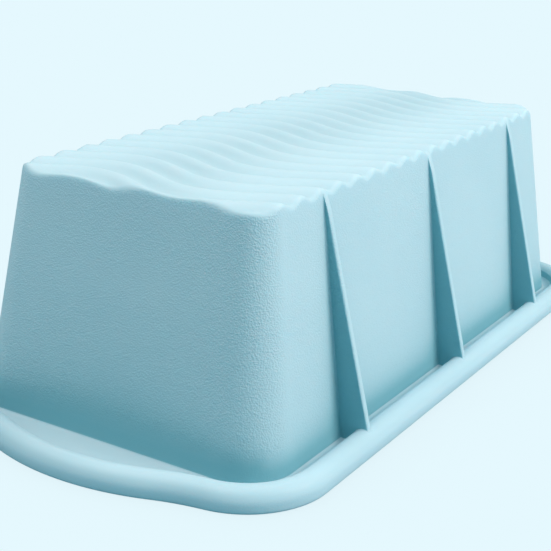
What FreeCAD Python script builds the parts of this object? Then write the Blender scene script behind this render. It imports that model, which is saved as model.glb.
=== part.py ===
"""Silicone loaf mould for soap, standing upside down on its rim.

A tapered tray of one silicone moulding: a corrugated base, four drafted walls with round corners, a flat
rim flange with a raised bead, two bowed handles at the ends, and three gusset ribs up each long side.
A steel wire ring lies moulded inside the bead and keeps the rim from sagging.

Frame: X along the length, Y across the width, Z up. The rim face lies on z = 0 with the mouth of the
cavity opening downwards, and the corrugated base is on top. The origin is the centre of the rim face.
Every node is one stretch of the moulding, cut so that neighbours meet face to face. Millimetres.
"""
import FreeCAD, Part
import math
import os

V = FreeCAD.Vector
UP = V(0, 0, 1)
X_AXIS = V(1, 0, 0)

# --- driving dimensions ---------------------------------------------------------------------------------
BASE_Z = 72.1            # mean height of the corrugated base
BASE_HALF_LENGTH = 95.6  # outer outline of the walls at BASE_Z
BASE_HALF_WIDTH = 42.6
BASE_CORNER_R = 8.5

FLANGE_T = 2.0           # thickness of the flat rim flange, and the height where the walls start
MOUTH_HALF_LENGTH = 107.6  # outer outline of the walls at FLANGE_T
MOUTH_HALF_WIDTH = 52.0
MOUTH_CORNER_R = 14.4

WALL_T = 2.0             # wall thickness, measured level
BASE_T = 2.0             # base thickness, measured upright

FLANGE_W = 3.2           # flat strip between the wall and the bead
BEAD_W = 8.0
BEAD_H = 6.5
BEAD_INNER_R = 3.8       # round from the bead's inner foot up to its crest
BEAD_EDGE_R = 1.0        # at the rim face

END_EXTRA = 0.8          # how much wider the rim is past the ends of the walls than along their sides
HANDLE_REACH = 9.4       # how far a handle bows out past the plain rim
HANDLE_R = 76.0
HANDLE_BLEND_R = 72.0    # hollow blend from the handle into the rim corner

RIDGE_PITCH = 10.2       # corrugation of the base
RIDGE_AMPLITUDE = 0.75
RIDGE_SWAY = 5.6         # how far a ridge snakes to either side
SWAY_PERIOD = 66.0
SWAY_PEAK_Y = 19.0
RIDGE_PHASE = -0.1       # place of the ridge nearest the middle
RIDGE_SAMPLES = (8, 25)  # points along a pitch and across the width that shape the corrugated surface

RIB_PITCH = 65.5
RIB_T = 2.2
RIB_TOP_Z = 70.2
RIB_TOP_OUT = 0.9        # how far a rib stands off the wall at its top
RIB_LANDING = 18.0       # angle past the bead's crest where a rib's edge lands

WIRE_D = 3.0
WIRE_INSET = 3.6         # from the bead's outer face to the wire's centre
WIRE_Z = 3.4

# --- values worked out from them ------------------------------------------------------------------------
RIM_W = FLANGE_W + BEAD_W
BEAD_OUTER_R = BEAD_W - BEAD_INNER_R            # round from the crest to the bead's outer face
CORNER_X = MOUTH_HALF_LENGTH - MOUTH_CORNER_R + END_EXTRA   # centre of the round corners of flange and bead
CORNER_Y = MOUTH_HALF_WIDTH - MOUTH_CORNER_R
RIM_CORNER_R = MOUTH_CORNER_R + RIM_W
RIM_HALF_WIDTH = MOUTH_HALF_WIDTH + RIM_W
HANDLE_END_X = MOUTH_HALF_LENGTH + RIM_W + HANDLE_REACH
HANDLE_X = HANDLE_END_X - HANDLE_R              # centre of the handle's bow
MARGIN = 6.0                                    # overrun of cutting tools


def lerp_height(at_mouth, at_base, z):
    """A wall size at height z: the walls are straight from the flange to the base."""
    return at_mouth + (at_base - at_mouth) * (z - FLANGE_T) / (BASE_Z - FLANGE_T)


def wall_size(z, inset=0.0):
    """Half length, half width and corner radius of the walls at height z, moved in by inset."""
    half_length = lerp_height(MOUTH_HALF_LENGTH, BASE_HALF_LENGTH, z) - inset
    half_width = lerp_height(MOUTH_HALF_WIDTH, BASE_HALF_WIDTH, z) - inset
    radius = lerp_height(MOUTH_CORNER_R, BASE_CORNER_R, z) - inset
    return half_length, half_width, radius


def arc(centre, radius, start, end, z=0.0):
    """Level circular edge from angle start to angle end, in degrees."""
    def at(angle):
        turn = math.radians(angle)
        return V(centre[0] + radius * math.cos(turn), centre[1] + radius * math.sin(turn), z)
    return Part.Arc(at(start), at((start + end) / 2), at(end)).toShape()


def closed_wire(edges):
    """One closed wire: straight edges fill the gaps between the given edges in their order."""
    joined = []
    for edge, following in zip(edges, edges[1:] + edges[:1]):
        joined.append(edge)
        gap_start = edge.lastVertex(True).Point
        gap_end = following.firstVertex(True).Point
        if gap_start.distanceToPoint(gap_end) > 1e-6:
            joined.append(Part.makeLine(gap_start, gap_end))
    return Part.Wire(joined)


def rounded_outline(z, inset=0.0):
    """Rounded rectangle of the walls at height z."""
    half_length, half_width, radius = wall_size(z, inset)
    cx = half_length - radius
    cy = half_width - radius
    quarters = ((cx, cy, 0), (-cx, cy, 90), (-cx, -cy, 180), (cx, -cy, 270))
    return closed_wire([arc((x, y), radius, start, start + 90, z) for x, y, start in quarters])


def tapered_block(z_low, z_high, inset=0.0):
    """Solid that the walls enclose between two heights."""
    return Part.makeLoft([rounded_outline(z_low, inset), rounded_outline(z_high, inset)], True, True)


# --- corrugated base ------------------------------------------------------------------------------------
def ridge_height(x, y):
    """Height of the base's outer surface: ridges across the width that snake along their length."""
    sway = RIDGE_SWAY * math.cos(2 * math.pi * (y - SWAY_PEAK_Y) / SWAY_PERIOD)
    return BASE_Z + RIDGE_AMPLITUDE * math.cos(2 * math.pi * (x - RIDGE_PHASE - sway) / RIDGE_PITCH)


def ridged_face(drop):
    """The corrugated surface as one smooth face, lowered by drop and larger than the base."""
    half_x = BASE_HALF_LENGTH + MARGIN
    half_y = BASE_HALF_WIDTH + MARGIN
    per_pitch, count_y = RIDGE_SAMPLES
    count_x = per_pitch * round(2 * half_x / RIDGE_PITCH) + 1
    grid = []
    for i in range(count_x):
        x = -half_x + 2 * half_x * i / (count_x - 1)
        column = []
        for j in range(count_y):
            y = -half_y + 2 * half_y * j / (count_y - 1)
            column.append(V(x, y, ridge_height(x, y) - drop))
        grid.append(column)
    surface = Part.BSplineSurface()
    surface.interpolate(grid)
    return surface.toShape()


def corrugated_base():
    plate = ridged_face(BASE_T).extrude(UP * BASE_T)
    return plate.common(tapered_block(BASE_Z - MARGIN, BASE_Z + MARGIN))


# --- walls ----------------------------------------------------------------------------------------------
def wall_panel(section, trim):
    """Wall stretch lofted between its sections at the flange and above the base, then trimmed."""
    stretch = Part.makeLoft([section(FLANGE_T), section(BASE_Z + MARGIN / 2)], True, True)
    return stretch.cut(trim)


def side_section(y_sign):
    def section(z):
        half_length, half_width, radius = wall_size(z)
        reach = half_length - radius
        outer = y_sign * half_width
        inner = y_sign * (half_width - WALL_T)
        return Part.makePolygon([V(-reach, outer, z), V(reach, outer, z), V(reach, inner, z),
                                 V(-reach, inner, z), V(-reach, outer, z)])
    return section


def end_section(x_sign):
    def section(z):
        half_length, half_width, radius = wall_size(z)
        reach = half_width - radius
        outer = x_sign * half_length
        inner = x_sign * (half_length - WALL_T)
        return Part.makePolygon([V(outer, -reach, z), V(outer, reach, z), V(inner, reach, z),
                                 V(inner, -reach, z), V(outer, -reach, z)])
    return section


def corner_section(x_sign, y_sign):
    start = {(1, 1): 0, (-1, 1): 90, (-1, -1): 180, (1, -1): 270}[(x_sign, y_sign)]

    def section(z):
        half_length, half_width, radius = wall_size(z)
        centre = (x_sign * (half_length - radius), y_sign * (half_width - radius))
        outer = arc(centre, radius, start, start + 90, z)
        inner = arc(centre, radius - WALL_T, start + 90, start, z)
        return closed_wire([outer, inner])
    return section


# --- rim: flange, bead and wire -------------------------------------------------------------------------
def handle_blend():
    """Centre of the hollow blend circle between a corner and the handle's bow, in the +X +Y quarter."""
    along = V(CORNER_X - HANDLE_X, CORNER_Y, 0)
    gap = along.Length
    along.normalize()
    to_bow = HANDLE_R + HANDLE_BLEND_R
    to_corner = RIM_CORNER_R + HANDLE_BLEND_R
    foot = (to_bow ** 2 - to_corner ** 2 + gap ** 2) / (2 * gap)
    off = math.sqrt(to_bow ** 2 - foot ** 2)
    return V(HANDLE_X, 0, 0) + along * foot + V(along.y, -along.x, 0) * off


BLEND = handle_blend()
CORNER_TURN = math.degrees(math.atan2(BLEND.y - CORNER_Y, BLEND.x - CORNER_X))  # where a corner's arc ends
BOW_TURN = math.degrees(math.atan2(BLEND.y, BLEND.x - HANDLE_X))               # half the bow's angle


def handle_arcs():
    """Arcs of the +X handle as (centre, radius, start, end, side); side is -1 where the arc is hollow."""
    return [((BLEND.x, -BLEND.y), HANDLE_BLEND_R, 180 - CORNER_TURN, 180 - BOW_TURN, -1),
            ((HANDLE_X, 0), HANDLE_R, -BOW_TURN, BOW_TURN, 1),
            ((BLEND.x, BLEND.y), HANDLE_BLEND_R, 180 + BOW_TURN, 180 + CORNER_TURN, -1)]


def corner_arc():
    """The rim's arc round the +X +Y corner, in the same form."""
    return ((CORNER_X, CORNER_Y), RIM_CORNER_R, CORNER_TURN, 90, 1)


def bead_round(radius, start, end):
    """Stretch of the bead's round top; angles are measured outwards from the crest, in degrees."""
    def at(angle):
        turn = math.radians(angle)
        return V(BEAD_INNER_R + radius * math.sin(turn), BEAD_H - radius + radius * math.cos(turn), 0)
    return Part.Arc(at(start), at((start + end) / 2), at(end)).toShape()


def bead_profile():
    """Bead section as edges in (distance out from the bead's foot, height)."""
    cut = 1 - math.sqrt(0.5)     # how far the middle of a quarter circle stays off its corner, over the radius
    edge_mid = V(BEAD_W - BEAD_EDGE_R * cut, BEAD_EDGE_R * cut, 0)
    return [Part.makeLine(V(0, 0, 0), V(BEAD_W - BEAD_EDGE_R, 0, 0)),
            Part.Arc(V(BEAD_W - BEAD_EDGE_R, 0, 0), edge_mid, V(BEAD_W, BEAD_EDGE_R, 0)).toShape(),
            Part.makeLine(V(BEAD_W, BEAD_EDGE_R, 0), V(BEAD_W, BEAD_H - BEAD_OUTER_R, 0)),
            bead_round(BEAD_OUTER_R, 90, 0),
            bead_round(BEAD_INNER_R, 0, -90),
            Part.makeLine(V(0, BEAD_H - BEAD_INNER_R, 0), V(0, 0, 0))]


def wire_profile():
    centre = V(BEAD_W - WIRE_INSET, WIRE_Z, 0)
    return [Part.Circle(centre, UP, WIRE_D / 2).toShape()]


def section_face(edges, foot, outward):
    """Face of a rim section, stood upright at the bead's foot and pointing along outward."""
    turn = math.degrees(math.atan2(outward.y, outward.x))
    face = Part.Face(Part.Wire(edges))
    face.rotate(V(0, 0, 0), X_AXIS, 90)
    face.rotate(V(0, 0, 0), UP, turn)
    face.translate(foot)
    return face


def swept_arc(edges, centre, radius, start, end, side):
    """Rim section carried round one arc of the rim's outer outline."""
    turn = math.radians(start)
    radial = V(math.cos(turn), math.sin(turn), 0)
    middle = V(centre[0], centre[1], 0)
    foot = middle + radial * (radius - side * BEAD_W)
    face = section_face(edges, foot, radial * side)
    return face.revolve(middle, UP, end - start)


def swept_side(edges):
    """Rim section carried along the straight +Y side."""
    face = section_face(edges, V(-CORNER_X, RIM_HALF_WIDTH - BEAD_W, 0), V(0, 1, 0))
    return face.extrude(X_AXIS * (2 * CORNER_X))


def joined(shapes):
    """One solid from pieces that meet face to face."""
    return shapes[0].multiFuse(shapes[1:]).removeSplitter()


def mirrored(shape, x_sign, y_sign):
    """Copy of a +X +Y shape in another quarter."""
    copy = shape
    if x_sign < 0:
        copy = copy.mirror(V(0, 0, 0), X_AXIS)
    if y_sign < 0:
        copy = copy.mirror(V(0, 0, 0), V(0, 1, 0))
    return copy


def bead_pieces():
    """Straight side, corner and handle of the bead in the +X +Y quarter, with the wire's channel."""
    channel = wire_profile()
    section = bead_profile()
    side = swept_side(section).cut(swept_side(channel))
    corner = swept_arc(section, *corner_arc()).cut(swept_arc(channel, *corner_arc()))
    handle = joined([swept_arc(section, *piece) for piece in handle_arcs()])
    handle = handle.cut(joined([swept_arc(channel, *piece) for piece in handle_arcs()]))
    return side, corner, handle


def flange_pieces():
    """Side, corner and handle stretches of the flat flange, in the +X +Y quarter, open to the cavity."""
    mouth = tapered_block(-MARGIN, FLANGE_T + MARGIN, WALL_T)
    foot_y = RIM_HALF_WIDTH - BEAD_W
    side = Part.makeBox(2 * CORNER_X, foot_y - CORNER_Y, FLANGE_T, V(-CORNER_X, CORNER_Y, 0))
    centre, radius, start, end, _ = corner_arc()
    pie = closed_wire([arc(centre, radius - BEAD_W, start, end),
                       Part.makeLine(V(centre[0], foot_y, 0), V(centre[0], centre[1], 0))])
    bow = [arc(centre, radius - side * BEAD_W, start, end)
           for centre, radius, start, end, side in handle_arcs()]
    inner_side = Part.makeLine(V(CORNER_X, CORNER_Y, 0), V(CORNER_X, -CORNER_Y, 0))
    corner = Part.Face(pie).extrude(UP * FLANGE_T)
    handle = Part.Face(closed_wire(bow + [inner_side])).extrude(UP * FLANGE_T)
    return side.cut(mouth), corner.cut(mouth), handle.cut(mouth)


def rim_wire():
    """The closed steel ring inside the bead."""
    section = wire_profile()
    side = swept_side(section)
    corner = swept_arc(section, *corner_arc())
    handle = joined([swept_arc(section, *piece) for piece in handle_arcs()])
    corners = [mirrored(corner, x, y) for x in (1, -1) for y in (1, -1)]
    return joined([side, mirrored(side, 1, -1), handle, mirrored(handle, -1, 1)] + corners)


# --- gusset ribs ----------------------------------------------------------------------------------------
def rib(x):
    """Gusset on the +Y side: it stands on the flange and over the bead's crest and leans on the wall."""
    foot_y = RIM_HALF_WIDTH - BEAD_W
    underside = Part.Wire([Part.makeLine(V(0, FLANGE_T, 0), V(0, BEAD_H - BEAD_INNER_R, 0)),
                           bead_round(BEAD_INNER_R, -90, 0), bead_round(BEAD_OUTER_R, 0, RIB_LANDING)])
    underside.rotate(V(0, 0, 0), X_AXIS, 90)
    underside.rotate(V(0, 0, 0), UP, 90)
    underside.translate(V(0, foot_y, 0))
    turn = math.radians(RIB_LANDING)
    landing = V(0, foot_y + BEAD_INNER_R + BEAD_OUTER_R * math.sin(turn),
                BEAD_H - BEAD_OUTER_R + BEAD_OUTER_R * math.cos(turn))
    wall_top = wall_size(RIB_TOP_Z)[1]
    rest = Part.makePolygon([V(0, foot_y, FLANGE_T), V(0, MOUTH_HALF_WIDTH, FLANGE_T),
                             V(0, wall_top, RIB_TOP_Z), V(0, wall_top + RIB_TOP_OUT, RIB_TOP_Z), landing])
    plate = Part.Face(Part.Wire(underside.Edges + rest.Edges)).extrude(X_AXIS * RIB_T)
    plate.translate(V(x - RIB_T / 2, 0, 0))
    return plate


# --- nodes ----------------------------------------------------------------------------------------------
def build():
    nodes = {"corrugated_base": corrugated_base(), "rim_wire": rim_wire()}
    above_walls = ridged_face(BASE_T).extrude(UP * 3 * MARGIN)
    for name, y_sign in (("front", -1), ("back", 1)):
        nodes["side_wall_" + name] = wall_panel(side_section(y_sign), above_walls)
    for name, x_sign in (("left", -1), ("right", 1)):
        nodes["end_wall_" + name] = wall_panel(end_section(x_sign), above_walls)
    bead_side, bead_corner, bead_handle = bead_pieces()
    flange_side, flange_corner, flange_handle = flange_pieces()
    for depth, y_sign in (("front", -1), ("back", 1)):
        nodes["rim_flange_" + depth] = mirrored(flange_side, 1, y_sign)
        nodes["rim_bead_" + depth] = mirrored(bead_side, 1, y_sign)
        for side, x_sign in (("left", -1), ("right", 1)):
            place = depth + "_" + side
            nodes["corner_wall_" + place] = wall_panel(corner_section(x_sign, y_sign), above_walls)
            nodes["rim_flange_" + place] = mirrored(flange_corner, x_sign, y_sign)
            nodes["rim_bead_" + place] = mirrored(bead_corner, x_sign, y_sign)
        for index, step in enumerate((-1, 0, 1), start=1):
            nodes["side_rib_%s_%d" % (depth, index)] = mirrored(rib(step * RIB_PITCH), 1, y_sign)
    for side, x_sign in (("left", -1), ("right", 1)):
        nodes["handle_web_" + side] = mirrored(flange_handle, x_sign, 1)
        nodes["handle_bead_" + side] = mirrored(bead_handle, x_sign, 1)
    return nodes


def main():
    os.makedirs("parts", exist_ok=True)
    for name, shape in build().items():
        solid = shape.Solids[0] if len(shape.Solids) == 1 else shape
        assert solid.ShapeType == "Solid" and solid.isValid(), name
        solid.exportStep("parts/%s.step" % name)
        print("%-28s %8.1f mm3" % (name, solid.Volume))


main()
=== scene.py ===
import math

import bmesh
import bpy
import numpy as np
from mathutils import Matrix, Vector


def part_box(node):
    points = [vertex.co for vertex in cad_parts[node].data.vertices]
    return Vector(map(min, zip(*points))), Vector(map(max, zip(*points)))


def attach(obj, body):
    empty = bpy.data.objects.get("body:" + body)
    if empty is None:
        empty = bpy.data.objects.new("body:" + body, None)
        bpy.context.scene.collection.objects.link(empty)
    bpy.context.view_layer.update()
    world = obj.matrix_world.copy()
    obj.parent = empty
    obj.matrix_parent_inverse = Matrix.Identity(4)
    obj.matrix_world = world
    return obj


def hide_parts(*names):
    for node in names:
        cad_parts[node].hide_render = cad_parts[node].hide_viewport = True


# The looks of a silicone loaf mould that stands upside down on its rim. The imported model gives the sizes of
# its walls, rim and handles. One continuous silicone skin stands for all the silicone nodes, because the real
# moulding is one piece, and the steel ring inside the bead keeps its own node. Lengths are millimetres
# unless a comment says metres.
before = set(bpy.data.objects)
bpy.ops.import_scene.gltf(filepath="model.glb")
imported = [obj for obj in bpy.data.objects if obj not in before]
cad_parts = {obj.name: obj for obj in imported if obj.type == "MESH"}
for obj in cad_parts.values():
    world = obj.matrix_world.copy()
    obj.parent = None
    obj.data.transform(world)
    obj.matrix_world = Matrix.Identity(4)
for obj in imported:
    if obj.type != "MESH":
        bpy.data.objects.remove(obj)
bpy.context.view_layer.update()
MM = 0.001


def node_box(name):
    """Lowest and highest corner of a CAD node, in millimetres."""
    low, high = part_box(name)
    return np.array(low) / MM, np.array(high) / MM


# --- sizes read from the frame --------------------------------------------------------------------------
FLANGE_T = node_box("rim_flange_front")[1][2]
MOUTH_HALF_WIDTH = -node_box("side_wall_front")[0][1]
MOUTH_HALF_LENGTH = node_box("end_wall_right")[1][0]
WALL_REACH = node_box("side_wall_front")[1][0]   # where the straight side wall ends
CORNER_X = node_box("rim_bead_front")[1][0]      # where the rim's straight side ends
RIM_HALF_WIDTH = -node_box("rim_bead_front")[0][1]
BEAD_W = node_box("rim_bead_front")[1][1] - node_box("rim_bead_front")[0][1]
BEAD_H = node_box("rim_bead_front")[1][2]
HANDLE_END_X = node_box("handle_bead_right")[1][0]
RIDGE_TOP = node_box("corrugated_base")[1][2]
MOUTH_CORNER_R = MOUTH_HALF_LENGTH - WALL_REACH
CORNER_Y = MOUTH_HALF_WIDTH - MOUTH_CORNER_R
RIM_CORNER_R = RIM_HALF_WIDTH - CORNER_Y
RIB_PITCH = sum(node_box("side_rib_front_3")[i][0] for i in (0, 1)) / 2
RIB_T = node_box("side_rib_front_3")[1][0] - node_box("side_rib_front_3")[0][0]
RIB_TOP_Z = node_box("side_rib_front_3")[1][2]

# --- sizes that the boxes don't give: the same as in the CAD model --------------------------------------
RIDGE_AMPLITUDE = 0.75
BASE_Z = RIDGE_TOP - RIDGE_AMPLITUDE
BASE_HALF_LENGTH = 95.6
BASE_HALF_WIDTH = 42.6
BASE_CORNER_R = 8.5
WALL_T = 2.0
BASE_T = 2.0
HANDLE_R = 76.0
HANDLE_BLEND_R = 72.0
BEAD_INNER_R = 3.8
BEAD_OUTER_R = BEAD_W - BEAD_INNER_R
BEAD_EDGE_R = 1.0
RIDGE_PITCH = 10.2
RIDGE_SWAY = 5.6
SWAY_PERIOD = 66.0
SWAY_PEAK_Y = 19.0
RIDGE_PHASE = -0.1
RIB_TOP_OUT = 0.9
RIB_LANDING = 18.0

# --- roundings that only the visual skin has ------------------------------------------------------------
BASE_EDGE_R = 1.5        # where the base turns down into the walls
WALL_FOOT_R = 0.9        # where the walls meet the flange
BEAD_FOOT_R = 0.8
MOUTH_EDGE_R = 1.0       # inner edge of the rim face
INNER_EDGE_R = 4.0       # round the floor of the cavity
RIB_ROOT_R = 0.7
RIB_EDGE_R = 0.8
RIB_TIP_FADE = 5.0       # height over which a rib's tip rises out of the wall

# --- mesh spacing ---------------------------------------------------------------------------------------
SIDE_STEP = 1.05
END_STEP = 1.4
CORNER_STEPS = 20
# rows between two roundings, as shares of the way; they are close to the roundings to keep the flats flat
WALL_ROWS = (0.01, 0.025, 0.05, 0.1, 0.2, 0.35, 0.5, 0.65, 0.8, 0.9, 0.96, 0.99)
CAVITY_ROWS = (0.02, 0.1, 0.3, 0.5, 0.7, 0.9, 0.98)
FLAT_ROWS = (0.1, 0.5, 0.9)
MERGE_GAP = 0.02         # points closer than this become one
SHORTEST_EDGE = 0.005
RIB_REACH = RIB_T / 2 + RIB_ROOT_R   # half the width of wall that a rib's columns take


# --- outline of the walls -------------------------------------------------------------------------------
def wall_size(z, inset=0.0):
    """Half length, half width and corner radius of the walls at height z, moved in by inset."""
    share = (z - FLANGE_T) / (BASE_Z - FLANGE_T)
    half_length = MOUTH_HALF_LENGTH + (BASE_HALF_LENGTH - MOUTH_HALF_LENGTH) * share - inset
    half_width = MOUTH_HALF_WIDTH + (BASE_HALF_WIDTH - MOUTH_HALF_WIDTH) * share - inset
    radius = MOUTH_CORNER_R + (BASE_CORNER_R - MOUTH_CORNER_R) * share - inset
    return half_length, half_width, radius


def rib_columns():
    """Columns across one rib as (offset from its middle, root share, side share, edge share).

    The shares say how much of the root radius, of the flat side and of the edge radius lies below the column.
    """
    columns = []
    for k in range(5):
        turn = math.radians(90 * k / 4)
        columns.append((-RIB_T / 2 - RIB_ROOT_R * (1 - math.sin(turn)), 1 - math.cos(turn), 0, 0))
    columns += [(-RIB_T / 2, 1, side, 0) for side in (0.35, 0.7, 1.0)]
    for k in range(1, 5):
        turn = math.radians(90 * k / 4)
        columns.append((-RIB_T / 2 + RIB_EDGE_R * (1 - math.cos(turn)), 1, 1, math.sin(turn)))
    return columns + [(0.0, 1, 1, 1)] + [(-x, root, side, edge) for x, root, side, edge in reversed(columns)]


def spread(start, end, step):
    """Evenly spaced values from start to end, about step apart."""
    count = max(1, round(abs(end - start) / step))
    return np.linspace(start, end, count + 1)


def side_columns():
    """Columns of a long side from one corner to the other: (x at the base, rib shares or None)."""
    reach = BASE_HALF_LENGTH - BASE_CORNER_R
    columns = []
    start = -reach
    for centre in (-RIB_PITCH, 0.0, RIB_PITCH):
        columns += [(x, None) for x in spread(start, centre - RIB_REACH, SIDE_STEP)[:-1]]
        columns += [(centre + x, shares) for x, *shares in rib_columns()]
        start = centre + RIB_REACH
    tail = spread(start, reach, SIDE_STEP)[1:]
    return columns + [(x, None) for x in tail]


def stations():
    """Columns round the whole mould, anticlockwise seen from above, starting at the back right corner.

    Each is (stretch, place, rib shares): the place is x on a side, y on an end and an angle on a corner.
    """
    sides = side_columns()
    end_reach = BASE_HALF_WIDTH - BASE_CORNER_R
    ends = spread(-end_reach, end_reach, END_STEP)
    loop = [("back", x, rib) for x, rib in reversed(sides)]
    loop += [("corner", 90 + 90 * k / CORNER_STEPS, None) for k in range(1, CORNER_STEPS)]
    loop += [("left", y, None) for y in reversed(ends)]
    loop += [("corner", 180 + 90 * k / CORNER_STEPS, None) for k in range(1, CORNER_STEPS)]
    loop += [("front", x, rib) for x, rib in sides]
    loop += [("corner", 270 + 90 * k / CORNER_STEPS, None) for k in range(1, CORNER_STEPS)]
    loop += [("right", y, None) for y in ends]
    loop += [("corner", 90 * k / CORNER_STEPS, None) for k in range(1, CORNER_STEPS)]
    return loop


LOOP = stations()
STEADY_X = RIB_PITCH + RIB_REACH   # columns up to here keep their x at every height


def stretched(place, base_reach, reach, steady):
    """A column's place at another height: fixed up to steady, then spread to reach the corner."""
    kept = np.minimum(np.abs(place), steady)
    over = np.abs(place) - kept
    return np.sign(place) * (kept + over * (reach - steady) / (base_reach - steady))


def outline(z, inset=0.0):
    """Points of every column on the wall's outline; z is one height or one for each column."""
    z = np.broadcast_to(z, (len(LOOP),))
    points = np.zeros((len(LOOP), 2))
    for i, (stretch, place, _) in enumerate(LOOP):
        half_length, half_width, radius = wall_size(z[i], inset)
        cx = half_length - radius
        cy = half_width - radius
        if stretch in ("front", "back"):
            x = stretched(place, BASE_HALF_LENGTH - BASE_CORNER_R, cx, STEADY_X)
            points[i] = (x, half_width if stretch == "back" else -half_width)
        elif stretch in ("left", "right"):
            y = place * cy / (BASE_HALF_WIDTH - BASE_CORNER_R)
            points[i] = (half_length if stretch == "right" else -half_length, y)
        else:
            turn = math.radians(place)
            x_sign = 1 if math.cos(turn) > 0 else -1
            y_sign = 1 if math.sin(turn) > 0 else -1
            points[i] = (x_sign * cx + radius * math.cos(turn), y_sign * cy + radius * math.sin(turn))
    return points


def column(points, z):
    """Level points and heights joined into one row of 3D points."""
    return np.column_stack([points, np.broadcast_to(z, (len(points),))])


# --- outline of the rim ---------------------------------------------------------------------------------
def blend_centre():
    """Centre of the hollow circle that blends the handle's bow into the corner, in the +X +Y quarter."""
    bow_x = HANDLE_END_X - HANDLE_R
    along = np.array([CORNER_X - bow_x, CORNER_Y])
    gap = np.linalg.norm(along)
    along /= gap
    to_bow = HANDLE_R + HANDLE_BLEND_R
    to_corner = RIM_CORNER_R + HANDLE_BLEND_R
    foot = (to_bow ** 2 - to_corner ** 2 + gap ** 2) / (2 * gap)
    off = math.sqrt(to_bow ** 2 - foot ** 2)
    return np.array([bow_x, 0]) + along * foot + np.array([along[1], -along[0]]) * off


def handle_path(count=400):
    """Outer edge of the +X handle from the front corner to the back one: points, outward normals, lengths."""
    bow_x = HANDLE_END_X - HANDLE_R
    bx, by = blend_centre()
    corner_turn = math.atan2(by - CORNER_Y, bx - CORNER_X)
    bow_turn = math.atan2(by, bx - bow_x)
    pieces = [((bx, -by), HANDLE_BLEND_R, math.pi - corner_turn, math.pi - bow_turn, -1),
              ((bow_x, 0), HANDLE_R, -bow_turn, bow_turn, 1),
              ((bx, by), HANDLE_BLEND_R, math.pi + bow_turn, math.pi + corner_turn, -1)]
    points = []
    normals = []
    for centre, radius, start, end, side in pieces:
        for turn in np.linspace(start, end, count):
            ray = np.array([math.cos(turn), math.sin(turn)])
            points.append(np.array(centre) + radius * ray)
            normals.append(side * ray)
    points = np.array(points)
    lengths = np.concatenate([[0], np.cumsum(np.linalg.norm(np.diff(points, axis=0), axis=1))])
    return points, np.array(normals), lengths, math.degrees(corner_turn)


def rim_edge():
    """Outer edge of the bead at every column: points and outward normals."""
    mouth = outline(FLANGE_T)
    edge = np.zeros((len(LOOP), 2))
    normal = np.zeros((len(LOOP), 2))
    path, path_normal, lengths, corner_turn = handle_path()
    handle = {1: [], -1: []}
    for i, (stretch, place, _) in enumerate(LOOP):
        if stretch in ("front", "back"):
            normal[i] = (0, 1 if stretch == "back" else -1)
            x = stretched(place, BASE_HALF_LENGTH - BASE_CORNER_R, CORNER_X, STEADY_X)
            edge[i] = (x, normal[i][1] * RIM_HALF_WIDTH)
            continue
        if stretch == "corner":
            turn = math.radians(place)
            normal[i] = (math.cos(turn), math.sin(turn))
            edge[i] = np.sign(normal[i]) * (CORNER_X, CORNER_Y) + normal[i] * RIM_CORNER_R
            if abs(normal[i][1]) > math.sin(math.radians(corner_turn)):
                continue
        handle[1 if mouth[i][0] > 0 else -1].append(i)
    turn = math.radians(corner_turn)
    top_y = CORNER_Y + MOUTH_CORNER_R * math.sin(turn)
    for x_sign, members in handle.items():
        for i in members:
            share = (mouth[i][1] + top_y) / (2 * top_y)
            at = share * lengths[-1]
            for axis in (0, 1):
                edge[i][axis] = np.interp(at, lengths, path[:, axis])
                normal[i][axis] = np.interp(at, lengths, path_normal[:, axis])
            edge[i][0] *= x_sign
            normal[i][0] *= x_sign
            normal[i] /= np.linalg.norm(normal[i])
    return edge, normal


# --- profile pieces -------------------------------------------------------------------------------------
def bend(start, corner, end, count):
    """Rows of a rounding from start to end that is tangent to both lines through corner, ends left out."""
    rows = []
    for k in range(1, count):
        t = k / count
        rows.append((1 - t) ** 2 * start + 2 * t * (1 - t) * corner + t ** 2 * end)
    return rows


def blend_rows(start, end, shares):
    return [start + (end - start) * share for share in shares]


def bead_round(radius, start, end, count):
    """Points of the bead's round top; angles are measured outwards from the crest, in degrees."""
    return [np.array([BEAD_INNER_R + radius * math.sin(turn), BEAD_H - radius + radius * math.cos(turn)])
            for turn in np.radians(np.linspace(start, end, count))]


def bead_profile():
    """Bead section as (distance out, height): up to where the ribs land, then down to the rim face."""
    up = bead_round(BEAD_INNER_R, -90, 0, 10) + bead_round(BEAD_OUTER_R, 0, RIB_LANDING, 4)[1:]
    over = bead_round(BEAD_OUTER_R, RIB_LANDING, 90, 8)[1:]
    face = [np.array([BEAD_W, h]) for h in np.linspace(BEAD_H - BEAD_OUTER_R, BEAD_EDGE_R, 3)[1:-1]]
    edge = [np.array([BEAD_W - BEAD_EDGE_R * (1 - math.cos(turn)), BEAD_EDGE_R * (1 - math.sin(turn))])
            for turn in np.radians(np.linspace(0, 90, 5))]
    return up, over + face + edge


# --- corrugated base ------------------------------------------------------------------------------------
def ridge_height(x, y):
    """Height of the base's outer surface: ridges across the width that snake along their length."""
    sway = RIDGE_SWAY * np.cos(2 * math.pi * (y - SWAY_PEAK_Y) / SWAY_PERIOD)
    return BASE_Z + RIDGE_AMPLITUDE * np.cos(2 * math.pi * (x - RIDGE_PHASE - sway) / RIDGE_PITCH)


def on_ridges(points, drop=0.0):
    return column(points, ridge_height(points[:, 0], points[:, 1]) - drop)


def base_rings(inset, count, drop):
    """Rings from the base's edge in to where the round corners shrink to a point."""
    return [on_ridges(outline(BASE_Z, depth), drop)
            for depth in np.linspace(inset, BASE_CORNER_R, count + 1)[1:]]


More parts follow.
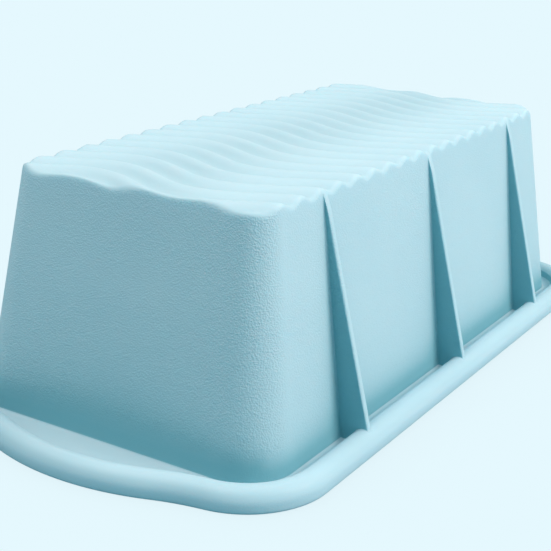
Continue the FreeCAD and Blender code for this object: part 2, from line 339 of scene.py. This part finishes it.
def base_grid(drop):
    """The rectangle of the base inside the rings, as rows of points from the front to the back."""
    half_y = BASE_HALF_WIDTH - BASE_CORNER_R
    xs = np.array([x for x, _ in side_columns()])
    return [on_ridges(np.column_stack([xs, np.full(len(xs), y)]), drop)
            for y in spread(-half_y, half_y, END_STEP)]


# --- the skin's rows ------------------------------------------------------------------------------------
def outer_rows():
    """Rows from the edge of the base down the walls and over the rim to the rim face."""
    top = outline(BASE_Z)
    edge_z = ridge_height(top[:, 0], top[:, 1])
    corner = column(outline(edge_z), edge_z)
    below = column(outline(edge_z - BASE_EDGE_R), edge_z - BASE_EDGE_R)
    inside = on_ridges(outline(BASE_Z, BASE_EDGE_R))
    foot = column(outline(FLANGE_T), FLANGE_T)
    above_foot = column(outline(FLANGE_T + WALL_FOOT_R), FLANGE_T + WALL_FOOT_R)
    edge, normal = rim_edge()
    bead_foot = column(edge - normal * BEAD_W, FLANGE_T)
    gap = bead_foot - foot
    gap_length = np.linalg.norm(gap, axis=1)[:, None]
    outward = gap / gap_length
    flange_start = foot + outward * WALL_FOOT_R
    flange_end = bead_foot - outward * BEAD_FOOT_R
    up, over = bead_profile()
    up_rows = [column(edge - normal * (BEAD_W - out), h) for out, h in up]
    rows = [inside] + bend(inside, corner, below, 6) + [below]
    rows += blend_rows(below, above_foot, WALL_ROWS)
    rows += [above_foot] + bend(above_foot, foot, flange_start, 5) + [flange_start]
    rows += blend_rows(flange_start, flange_end, FLAT_ROWS) + [flange_end]
    rows += bend(flange_end, bead_foot, up_rows[2], 3)
    rows += up_rows[2:]
    landing = len(rows) - 1
    rows += [column(edge - normal * (BEAD_W - out), h) for out, h in over]
    return rows, landing


def raise_ribs(rows, landing):
    """Moves the rib columns out from the wall, flange and bead to the ribs' straight outer edge."""
    members = [(i, shares) for i, (_, _, shares) in enumerate(LOOP) if shares]
    first = members[0][0]
    wall = np.array([(abs(row[first][1]), row[first][2]) for row in rows])
    start = np.array([wall_size(RIB_TOP_Z)[1] + RIB_TOP_OUT, RIB_TOP_Z])
    end = wall[landing]
    walked = np.concatenate([[0], np.cumsum(np.linalg.norm(np.diff(wall[:landing + 1], axis=0), axis=1))])
    tip = np.interp(-(RIB_TOP_Z + RIB_TIP_FADE / 2), -wall[:12, 1], walked[:12])
    for r in range(landing):
        share = (walked[r] - tip) / (walked[landing] - tip)
        if share <= 0:
            continue
        target = start + (end - start) * share
        out = target - wall[r]
        rise = min(1.0, (walked[r] - tip) / RIB_TIP_FADE)
        out *= rise * rise * (3 - 2 * rise)
        reach = np.linalg.norm(out)
        scale = min(1.0, reach / (RIB_ROOT_R + RIB_EDGE_R))
        root = RIB_ROOT_R * scale
        edge = RIB_EDGE_R * scale
        for i, (root_share, side_share, edge_share) in members:
            distance = root * root_share + (reach - root - edge) * side_share + edge * edge_share
            step = out / reach * distance
            rows[r][i][1] += step[0] if LOOP[i][0] == "back" else -step[0]
            rows[r][i][2] += step[1]
    return rows


def inner_rows():
    """Rows from the rim face over the mouth's edge and up the inside of the walls to the cavity's floor."""
    mouth = column(outline(0.0, WALL_T), 0.0)
    mouth_face = column(outline(0.0, WALL_T - MOUTH_EDGE_R), 0.0)
    mouth_wall = column(outline(MOUTH_EDGE_R, WALL_T), MOUTH_EDGE_R)
    top = outline(BASE_Z - BASE_T, WALL_T)
    floor_z = ridge_height(top[:, 0], top[:, 1]) - BASE_T
    corner = column(outline(floor_z, WALL_T), floor_z)
    below = column(outline(floor_z - INNER_EDGE_R, WALL_T), floor_z - INNER_EDGE_R)
    inside = on_ridges(outline(BASE_Z, WALL_T + INNER_EDGE_R), BASE_T)
    rows = [mouth_face] + bend(mouth_face, mouth, mouth_wall, 4) + [mouth_wall]
    rows += blend_rows(mouth_wall, below, CAVITY_ROWS) + [below]
    rows += bend(below, corner, inside, 6) + [inside]
    return rows


# --- the skin -------------------------------------------------------------------------------------------
def add_loops(verts, faces, rows):
    """Rows of points round the mould, joined by bands of four-sided faces."""
    count = len(LOOP)
    for r, row in enumerate(rows):
        start = len(verts)
        verts.extend(row)
        if r:
            for i in range(count):
                j = (i + 1) % count
                faces.append((start - count + i, start + i, start + j, start - count + j))


def add_grid(verts, faces, rows, flip):
    count = len(rows[0])
    start = len(verts)
    for row in rows:
        verts.extend(row)
    for r in range(len(rows) - 1):
        for i in range(count - 1):
            a = start + r * count + i
            face = (a, a + 1, a + count + 1, a + count)
            faces.append(face[::-1] if flip else face)


def silicone_skin():
    """The whole silicone moulding as one closed mesh."""
    rows, landing = outer_rows()
    rows = raise_ribs(rows, landing)
    rim_face = blend_rows(rows[-1], inner_rows()[0], FLAT_ROWS)
    outer_base = base_rings(BASE_EDGE_R, 5, 0.0)[::-1]
    inner_base = base_rings(WALL_T + INNER_EDGE_R, 1, BASE_T)
    verts = []
    faces = []
    add_loops(verts, faces, outer_base + rows + rim_face + inner_rows() + inner_base)
    add_grid(verts, faces, base_grid(0.0), False)
    add_grid(verts, faces, base_grid(BASE_T), True)
    mesh = bpy.data.meshes.new("silicone_moulding")
    mesh.from_pydata([tuple(float(c) * MM for c in v) for v in verts], [], faces)
    shape = bmesh.new()
    shape.from_mesh(mesh)
    bmesh.ops.remove_doubles(shape, verts=shape.verts, dist=MERGE_GAP * MM)
    bmesh.ops.dissolve_degenerate(shape, edges=shape.edges, dist=SHORTEST_EDGE * MM)
    bmesh.ops.recalc_face_normals(shape, faces=shape.faces)
    for face in shape.faces:
        face.smooth = True
    shape.to_mesh(mesh)
    shape.free()
    skin = bpy.data.objects.new("silicone_moulding", mesh)
    bpy.context.scene.collection.objects.link(skin)
    flats = skin.modifiers.new("flat_normals", "WEIGHTED_NORMAL")
    flats.mode = "FACE_AREA"
    flats.weight = 50
    flats.keep_sharp = False
    return skin


# --- materials ------------------------------------------------------------------------------------------
SILICONE_TINTS = ((0.540, 0.755, 0.830), (0.570, 0.780, 0.850))
# colour of the painted shade in the creases, on the end walls, in the flange channel and in the base's
# valleys
SHADE_COLOR = (0.20, 0.475, 0.545)
CREASE_REACH = 45.0      # how far away a surface still shades a crease
END_WALL_SHADE = 1.85        # the painted crease shade on the end walls, as a multiple of that on the long sides
FLANGE_SHADE = 0.12     # the most of the painted shade that the level flange takes
VALLEY_SHADE = 0.16     # the most of the painted shade that the base's valleys take
PEBBLE_SCALE = 1900.0    # cells per metre
FINE_SCALE = 2600.0
GRAIN_DEPTH = 0.25
SIDE_GRAIN = 0.45        # share of the grain's depth that is left on the long sides


def new_material(name):
    material = bpy.data.materials.new(name)
    material.use_nodes = True
    nodes = material.node_tree.nodes
    return material, nodes, material.node_tree.links, nodes["Principled BSDF"]


def math_node(tree, operation, *sources, clamp=False):
    """Result of a Math node; each source is an output socket or a number."""
    node = tree.nodes.new("ShaderNodeMath")
    node.operation = operation
    node.use_clamp = clamp
    for socket, source in zip(node.inputs, sources):
        if isinstance(source, float):
            socket.default_value = source
        else:
            tree.links.new(source, socket)
    return node.outputs["Value"]


def range_node(tree, source, from_min=0.0, from_max=1.0, to_min=0.0, to_max=1.0):
    """Source moved from one range to another, level beyond both ends."""
    node = tree.nodes.new("ShaderNodeMapRange")
    tree.links.new(source, node.inputs["Value"])
    node.inputs["From Min"].default_value = from_min
    node.inputs["From Max"].default_value = from_max
    node.inputs["To Min"].default_value = to_min
    node.inputs["To Max"].default_value = to_max
    return node.outputs["Result"]


def texture_node(tree, kind, place, **settings):
    """Procedural texture at place, with its inputs set by name."""
    node = tree.nodes.new("ShaderNodeTex" + kind)
    tree.links.new(place, node.inputs["Vector"])
    for name, value in settings.items():
        node.inputs[name].default_value = value
    return node


def silicone_material():
    """Pale aqua translucent silicone: pebbled walls, satin rim and base, with shade painted into the creases,
    end walls, flange channel and base valleys.
    """
    material, nodes, links, shader = new_material("aqua_silicone")
    tree = material.node_tree
    place = nodes.new("ShaderNodeTexCoord").outputs["Object"]
    cloud = texture_node(tree, "Noise", place, Scale=22.0, Detail=3.0)
    tint = nodes.new("ShaderNodeValToRGB")
    for stop, position, shade in zip(tint.color_ramp.elements, (0.35, 0.68), SILICONE_TINTS):
        stop.position = position
        stop.color = (*shade, 1)
    links.new(cloud.outputs["Fac"], tint.inputs["Fac"])
    # which way a surface faces and how high it lies
    surface = nodes.new("ShaderNodeNewGeometry")
    facing = nodes.new("ShaderNodeSeparateXYZ")
    links.new(surface.outputs["Normal"], facing.inputs["Vector"])
    spot = nodes.new("ShaderNodeSeparateXYZ")
    links.new(place, spot.inputs["Vector"])
    height = spot.outputs["Z"]
    wall = range_node(tree, math_node(tree, "ABSOLUTE", facing.outputs["Z"]), 0.60, 0.35)
    across = math_node(tree, "ABSOLUTE", facing.outputs["X"])
    # pebbled grain, kept to the upright outer walls above the rim and fainter on the long sides
    pebbles = texture_node(tree, "Voronoi", place, Scale=PEBBLE_SCALE, Randomness=0.9)
    fine = texture_node(tree, "Noise", place, Scale=FINE_SCALE, Detail=2.0)
    grain = math_node(tree, "ADD", pebbles.outputs["Distance"], fine.outputs["Fac"])
    above_rim = range_node(tree, height, (BEAD_H + 1.0) * MM, (BEAD_H + 5.0) * MM, 0.12)
    mask = math_node(tree, "MULTIPLY", wall, above_rim)
    amount = math_node(tree, "MULTIPLY", mask, range_node(tree, across, 0.08, 0.35, SIDE_GRAIN))
    bump = nodes.new("ShaderNodeBump")
    bump.inputs["Strength"].default_value = 0.5
    bump.inputs["Distance"].default_value = GRAIN_DEPTH * MM
    links.new(math_node(tree, "MULTIPLY", grain, amount), bump.inputs["Height"])
    links.new(bump.outputs["Normal"], shader.inputs["Normal"])
    # painted shade: near creases, where the AO node finds the skin occluding itself, the upright faces are
    # darkened to a deeper teal
    crease = nodes.new("ShaderNodeAmbientOcclusion")
    crease.samples = 8
    crease.only_local = True
    crease.inputs["Distance"].default_value = CREASE_REACH * MM
    depth = range_node(tree, crease.outputs["AO"], 0.95, 0.48)
    # the painted shade is stronger on the end walls than on the long sides, standing for the end walls
    # getting less light
    end_wall = range_node(tree, across, 0.5, 0.9, 1.0, END_WALL_SHADE)
    wall_shading = math_node(tree, "MULTIPLY", wall, end_wall)
    # on the level faces only the flange takes painted shade, in the channel between wall and bead
    flange_shading = range_node(tree, height, (FLANGE_T + 1.6) * MM, (FLANGE_T + 0.4) * MM, 0.0, FLANGE_SHADE)
    creases_shaded = math_node(tree, "MAXIMUM", wall_shading, flange_shading)
    crease_shading = math_node(tree, "MULTIPLY", depth, creases_shaded, clamp=True)
    # painted shade: the valleys of the base are drawn a little darker than its ridges
    valley_shading = range_node(tree, height, (BASE_Z + RIDGE_AMPLITUDE * 0.6) * MM, (BASE_Z - RIDGE_AMPLITUDE) * MM,
                        0.0, VALLEY_SHADE)
    level = math_node(tree, "SUBTRACT", 1.0, wall)
    shading_amount = math_node(tree, "MAXIMUM", crease_shading, math_node(tree, "MULTIPLY", valley_shading, level))
    color = nodes.new("ShaderNodeMix")
    color.data_type = "RGBA"
    color.inputs["B"].default_value = (*SHADE_COLOR, 1)
    links.new(shading_amount, color.inputs["Factor"])
    links.new(tint.outputs["Color"], color.inputs["A"])
    links.new(color.outputs["Result"], shader.inputs["Base Color"])
    # satin gloss, a touch duller on the grain
    links.new(range_node(tree, mask, to_min=0.52, to_max=0.62), shader.inputs["Roughness"])
    shader.inputs["IOR"].default_value = 1.41
    shader.inputs["Specular IOR Level"].default_value = 0.4
    shader.inputs["Subsurface Weight"].default_value = 0.25
    shader.inputs["Subsurface Radius"].default_value = (0.45, 0.9, 1.0)
    shader.inputs["Subsurface Scale"].default_value = 0.003
    return material


def wire_material():
    """Drawn steel wire with fine scratches."""
    material, nodes, links, shader = new_material("drawn_steel")
    tree = material.node_tree
    place = nodes.new("ShaderNodeTexCoord").outputs["Object"]
    scratch = texture_node(tree, "Noise", place, Scale=900.0, Detail=4.0)
    dull = range_node(tree, scratch.outputs["Fac"], to_min=0.25, to_max=0.45)
    links.new(dull, shader.inputs["Roughness"])
    shader.inputs["Base Color"].default_value = (0.62, 0.63, 0.65, 1)
    shader.inputs["Metallic"].default_value = 1.0
    return material


def camera_only(tree, seen, other):
    """Shader that the camera sees as seen, while every other ray meets other."""
    path = tree.nodes.new("ShaderNodeLightPath")
    mix = tree.nodes.new("ShaderNodeMixShader")
    tree.links.new(path.outputs["Is Camera Ray"], mix.inputs["Fac"])
    tree.links.new(other.outputs[0], mix.inputs[1])
    tree.links.new(seen.outputs[0], mix.inputs[2])
    return mix


def floor_material():
    """Evenly lit pale floor with a faint painted contact shadow from an AO node; to other rays it is a dim
    diffuse sheet.
    """
    material = bpy.data.materials.new("pale_floor")
    material.use_nodes = True
    tree = material.node_tree
    tree.nodes.remove(tree.nodes["Principled BSDF"])
    near = tree.nodes.new("ShaderNodeAmbientOcclusion")
    near.inputs["Distance"].default_value = CONTACT_REACH
    shade = tree.nodes.new("ShaderNodeValToRGB")
    shade.color_ramp.elements[0].color = (*[c * CONTACT_SHADE for c in BACKDROP], 1)
    shade.color_ramp.elements[1].color = (*BACKDROP, 1)
    seen = tree.nodes.new("ShaderNodeEmission")
    other = tree.nodes.new("ShaderNodeBsdfDiffuse")
    other.inputs["Color"].default_value = (*FLOOR_BOUNCE, 1)
    tree.links.new(near.outputs["AO"], shade.inputs["Fac"])
    tree.links.new(shade.outputs["Color"], seen.inputs["Color"])
    mix = camera_only(tree, seen, other)
    tree.links.new(mix.outputs[0], tree.nodes["Material Output"].inputs["Surface"])
    return material


# --- stage, light and camera ----------------------------------------------------------------------------
BACKDROP = (0.783, 0.939, 0.991)
# share of the backdrop's brightness left in the floor's painted contact shadow
CONTACT_SHADE = 0.90
FLOOR_BOUNCE = (0.19, 0.37, 0.44)
AMBIENT = (0.36, 0.88, 1.0)
AMBIENT_STRENGTH = 0.39
CONTACT_REACH = 0.03              # metres
FLOOR_REACH = 6.0                 # metres, to either side
# name, place, target, size (metres), power (watts) and colour of each softbox
SOFTBOXES = (
    ("key", (0.32, -1.05, 0.84), (0, 0, 0.03), 0.7, 15.6, (1.0, 0.84, 0.80)),
    ("overhead", (-0.27, 0.25, 1.25), (0, 0, 0), 0.7, 9.3, (1.0, 0.75, 0.70)),
    ("left", (-1.0, 0.9, 0.6), (0, 0, 0.03), 0.7, 1.9, (1.0, 0.86, 0.83)),
)
LENS = 77.54                      # on a 36 mm wide sensor
CAMERA_AZIMUTH = -58.532
CAMERA_ELEVATION = 18.308
CAMERA_ROLL = 1.798
CAMERA_PLACE = (-335.47, -193.22, 149.93)


def floor():
    mesh = bpy.data.meshes.new("floor")
    corners = [(x * FLOOR_REACH, y * FLOOR_REACH, 0) for x, y in ((-1, -1), (1, -1), (1, 1), (-1, 1))]
    mesh.from_pydata(corners, [], [(0, 1, 2, 3)])
    stage = bpy.data.objects.new("floor", mesh)
    stage.data.materials.append(floor_material())
    bpy.context.scene.collection.objects.link(stage)


def softbox(name, place, target, size, power, color):
    """Square area light aimed at target."""
    light = bpy.data.lights.new(name, "AREA")
    light.size = size
    light.energy = power
    light.color = color
    lamp = bpy.data.objects.new(name, light)
    lamp.location = place
    aim = Vector(target) - Vector(place)
    lamp.rotation_euler = aim.to_track_quat("-Z", "Y").to_euler()
    bpy.context.scene.collection.objects.link(lamp)


def lights():
    world = bpy.data.worlds.new("studio")
    world.use_nodes = True
    tree = world.node_tree
    fill = tree.nodes["Background"]
    fill.inputs["Color"].default_value = (*AMBIENT, 1)
    fill.inputs["Strength"].default_value = AMBIENT_STRENGTH
    seen = tree.nodes.new("ShaderNodeBackground")
    seen.inputs["Color"].default_value = (*BACKDROP, 1)
    mix = camera_only(tree, seen, fill)
    tree.links.new(mix.outputs[0], tree.nodes["World Output"].inputs["Surface"])
    bpy.context.scene.world = world
    for box in SOFTBOXES:
        softbox(*box)


def camera():
    """Camera at the photograph's viewing angle, rolled a little about its own axis."""
    a = math.radians(CAMERA_AZIMUTH)
    e = math.radians(CAMERA_ELEVATION)
    r = math.radians(CAMERA_ROLL)
    back = Vector((math.sin(a) * math.cos(e), -math.cos(a) * math.cos(e), math.sin(e)))
    level = Vector((math.cos(a), math.sin(a), 0))
    upright = back.cross(level)
    right = math.cos(r) * level + math.sin(r) * upright
    up = math.cos(r) * upright - math.sin(r) * level
    data = bpy.data.cameras.new("camera")
    data.lens = LENS
    data.sensor_width = 36.0
    data.clip_start = 0.01
    view = bpy.data.objects.new("camera", data)
    place = Vector(CAMERA_PLACE) * MM
    view.matrix_world = Matrix.Translation(place) @ Matrix((right, up, back)).transposed().to_4x4()
    bpy.context.scene.collection.objects.link(view)
    bpy.context.scene.camera = view


# --- the pieces on the frame ----------------------------------------------------------------------------
skin = silicone_skin()
skin.data.materials.append(silicone_material())
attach(skin, "root")
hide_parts(*[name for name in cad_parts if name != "rim_wire"])
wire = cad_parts["rim_wire"]
wire.data.materials.clear()
wire.data.materials.append(wire_material())
floor()
lights()
camera()
bpy.context.scene.view_settings.view_transform = "Standard"

bpy.context.view_layer.update()
